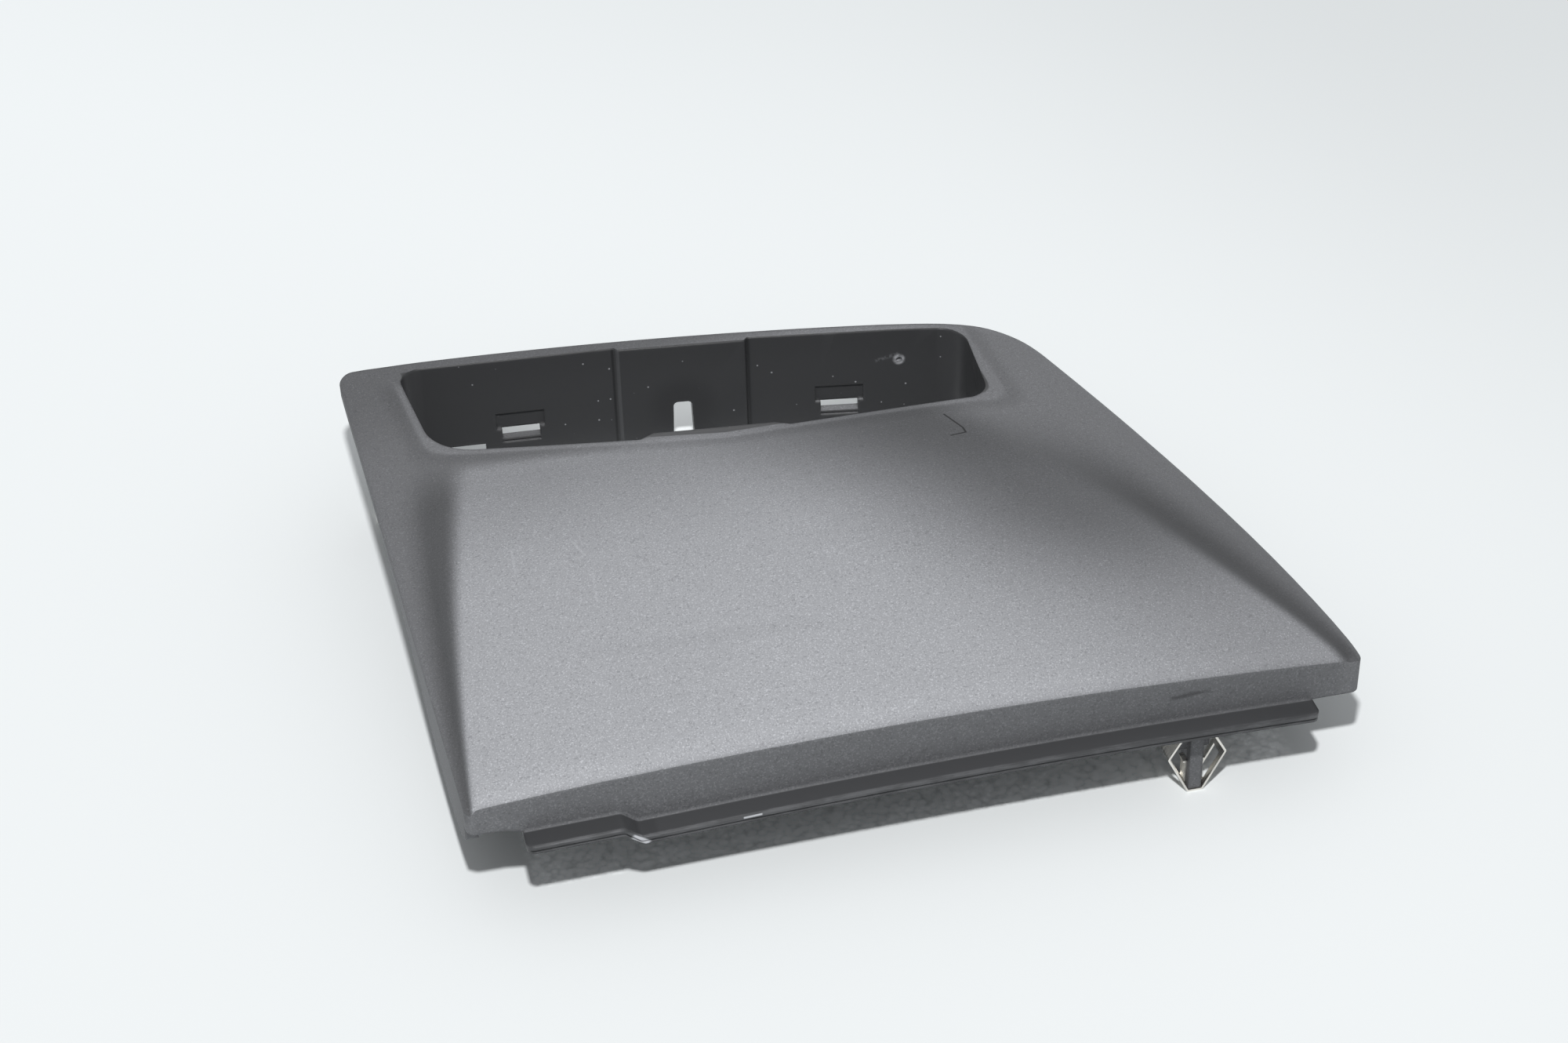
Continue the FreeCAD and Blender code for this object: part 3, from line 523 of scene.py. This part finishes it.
def panel_material():
    """Moulded plastic: sparkling satin face, smoother facets, glossy black inside, with painted
    sheen, light and shade laid in the skin's tones.
    """
    s = Shader("panel_plastic")
    where, (x, y, z), (_, facing_y, facing_z) = panel_places(s)
    rim, rear = rim_distance(s, x, y)

    within = s.times(s.fall(rim, WALL, WALL + WALL_SOFT), s.ramp(y, *WALL_FROM_Y))
    sunk = s.fall(rim, *WALL_SUNK)
    inside = s.times(within, s.most(s.fall(facing_z, *INSIDE_FACING), sunk))
    hidden = s.most(inside, s.fall(facing_z, *UNDER_FACING))
    ledge = s.fall(y, *LEDGE_Y)
    gloss = s.most(hidden, ledge)
    matte = s.less(1.0, gloss)
    upright = s.times(s.fall(facing_y, *BAND_FACING), s.fall(y, *BAND_FACING_Y))
    foot = s.times(s.fall(z, *BAND_FOOT_Z), s.fall(y, *BAND_FOOT_Y))

    fine = s.noise(where, *FINE_NOISE)
    grain = s.noise(where, *GRAIN_NOISE)
    cloud = s.noise(where, *CLOUD_NOISE)
    streaks = s.noise(s.stretched(where, STREAK_STRETCH), *STREAK_NOISE)
    tone, on_face = skin_tone_and_shade(s, x, y, rear)
    tone = lip_highlight_and_shade(s, x, y, rim, tone)
    # Band: the skin with painted shade
    band = s.mix(s.ramp(x, *BAND_X), *map(grey, BAND_SHADED_TONE))
    tone = s.mix(s.most(upright, foot), tone, band)
    gain = s.linear(s.ramp(fine, *SPARK), SPARK_GAIN, GRAIN_LEVEL)
    tone = s.scaled(tone, s.linear(s.fall(grain, *PIT), -PIT_LOSS, gain))
    tone = s.mix(s.times(s.ramp(cloud, *CLOUD), CLOUD_SHARE), tone, grey(CLOUD_TONE))
    tone = face_marks(s, x, y, tone)
    tone = s.mix(hidden, tone, grey(INSIDE_TONE))
    tone = s.mix(ledge, tone, grey(FLANGE_TONE))
    tone = wall_marks_and_shade(s, where, x, z, inside, tone)
    tone = front_marks(s, x, y, z, streaks, tone)

    rough = s.linear(on_face, FACE_ROUGH, SKIN_ROUGH)
    rough = s.linear(s.times(grain, matte), GRAIN_ROUGH, rough)
    rough = s.linear(gloss, -GLOSS_SMOOTH, rough)
    height = s.times(s.linear(fine, BUMP_FINE, grain), matte)
    soft = s.node("Bevel", {"Radius": SHADE_ROUND}, samples=SHADE_SAMPLES)
    bump = s.node("Bump", {
        "Strength": BUMP_STRENGTH, "Distance": BUMP_DEPTH, "Height": height,
        "Normal": soft.outputs[0],
    })
    s.surface("BsdfPrincipled", {
        "Base Color": tone, "Roughness": rough, "Metallic": s.times(on_face, FACE_METAL),
        "Specular IOR Level": SKIN_SPECULAR, "Normal": bump.outputs["Normal"],
    })
    return s.material


def steel_material():
    """Rolled spring steel with fine lines along the strip."""
    s = Shader("clip_steel")
    where = s.node("TexCoord").outputs["Object"]
    lines = s.noise(s.stretched(where, STEEL_STRETCH), *STEEL_NOISE)
    dark, light = (grey(level, STEEL_TINT) for level in STEEL_TONE)
    bump = s.node("Bump", {
        "Strength": STEEL_BUMP, "Distance": STEEL_BUMP_DEPTH, "Height": lines,
    })
    s.surface("BsdfPrincipled", {
        "Base Color": s.mix(s.ramp(lines, *STEEL_TONE_LINES), dark, light),
        "Roughness": s.ramp(lines, *STEEL_ROUGH_LINES, *STEEL_ROUGH),
        "Metallic": 1.0, "Normal": bump.outputs["Normal"],
    })
    return s.material


def table_material():
    """Paint that shows one even shade to the eye, whatever its way from the lamp, with painted
    shade towards the far side and the right, and leather grain with a painted lift of light in
    the shadow under the front edge.
    """
    s = Shader("table_paint")
    where = s.node("NewGeometry").outputs["Position"]
    away = s.node("VectorMath", {0: where, 1: LAMP_AT}, operation="DISTANCE").outputs["Value"]
    foot = LAMP_POWER / (4 * math.pi ** 2 * LAMP_AT.z ** 2)
    fading = s.math("POWER", s.math("DIVIDE", away, LAMP_AT.z), LAMP_FALL_POWER)
    from_lamp = s.math("DIVIDE", foot, fading)
    even = s.math("DIVIDE", 1.0, s.add(from_lamp, ROOM_LIGHT))
    x, y, _ = s.axes(where)
    # Painted shade towards the far side and the right
    even = s.times(even, s.ramp(s.add(x, y), *TABLE_FAR, 1.0, TABLE_FAR_SHADE),
                   s.ramp(x, *TABLE_RIGHT, 1.0, TABLE_RIGHT_SHADE))
    path = s.node("LightPath").outputs
    seen = s.most(path["Is Camera Ray"], path["Is Glossy Ray"])
    seen = s.most(seen, path["Is Transmission Ray"])
    share = s.most(s.times(even, seen), s.less(1.0, seen))

    x, y = s.times(x, PER_METRE), s.times(y, PER_METRE)
    # Leather grain and a painted lift of light, laid on the shadow under the front edge
    under = s.times(s.ramp(y, *RELIEF_FRONT), s.fall(y, *RELIEF_REAR),
                    s.ramp(x, *RELIEF_LEFT), s.fall(x, *RELIEF_RIGHT))
    leather = s.node("TexVoronoi", {"Vector": where, "Scale": RELIEF_SCALE})
    relief_and_lift = s.linear(leather.outputs["Distance"], -RELIEF_DEPTH, RELIEF_SHADOW_LIFT)
    relief_and_lift = s.linear(under, s.less(relief_and_lift, 1.0), 1.0)
    s.surface("BsdfDiffuse", {"Color": s.scaled(TABLE_SHADE, s.times(share, relief_and_lift))})
    return s.material


def table():
    bpy.ops.mesh.primitive_plane_add(size=TABLE_SIZE, location=(0, 0, 0))
    obj = bpy.context.object
    obj.name = "table"
    obj.data.materials.append(table_material())


def near_lamp():
    data = bpy.data.lights.new("near_lamp", "POINT")
    data.energy = LAMP_POWER
    data.shadow_soft_size = LAMP_RADIUS
    lamp = bpy.data.objects.new("near_lamp", data)
    lamp.location = LAMP_AT
    bpy.context.scene.collection.objects.link(lamp)


def card_light():
    """Low card behind the panel, which lights the table seen through the wall's windows."""
    data = bpy.data.lights.new("card_light", "AREA")
    data.shape = "RECTANGLE"
    data.size, data.size_y = CARD_WIDE, CARD_TALL
    data.energy = CARD_POWER
    data.spread = CARD_SPREAD
    card = bpy.data.objects.new("card_light", data)
    card.location = CARD_AT
    card.rotation_euler = CARD_AIM.to_track_quat("-Z", "Y").to_euler()
    card.visible_camera = False
    bpy.context.scene.collection.objects.link(card)


def room():
    """Pale room, at its full level to the eye and in reflections, and dimmer as a light."""
    world = bpy.data.worlds.new("room")
    world.use_nodes = True
    nodes, links = world.node_tree.nodes, world.node_tree.links
    back = nodes["Background"]
    back.inputs["Color"].default_value = ROOM_TINT
    path = nodes.new("ShaderNodeLightPath")
    seen = nodes.new("ShaderNodeMath")
    seen.operation = "MAXIMUM"
    level = nodes.new("ShaderNodeMapRange")
    level.inputs["To Min"].default_value = ROOM_LIGHT
    level.inputs["To Max"].default_value = GLOSS_LIGHT
    links.new(path.outputs["Is Glossy Ray"], seen.inputs[0])
    links.new(path.outputs["Is Camera Ray"], seen.inputs[1])
    links.new(seen.outputs[0], level.inputs["Value"])
    links.new(level.outputs["Result"], back.inputs["Strength"])
    bpy.context.scene.world = world


def dress():
    """Materials of the pieces, and the moulding's softened edges."""
    plastic = panel_material()
    steel = steel_material()
    for name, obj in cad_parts.items():
        obj.data.materials.clear()
        obj.data.materials.append(plastic if name == "trim_moulding" else steel)
    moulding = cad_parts["trim_moulding"]
    weld = moulding.modifiers.new("weld", "WELD")
    weld.merge_threshold = WELD_REACH
    bevel = moulding.modifiers.new("soft_edges", "BEVEL")
    bevel.width = EDGE_ROUND
    bevel.segments = EDGE_SEGMENTS
    bevel.limit_method = "ANGLE"
    bevel.angle_limit = EDGE_ANGLE
    bevel.harden_normals = False


dress()
table()
near_lamp()
card_light()
room()
camera()
bpy.context.scene.view_settings.view_transform = "Standard"
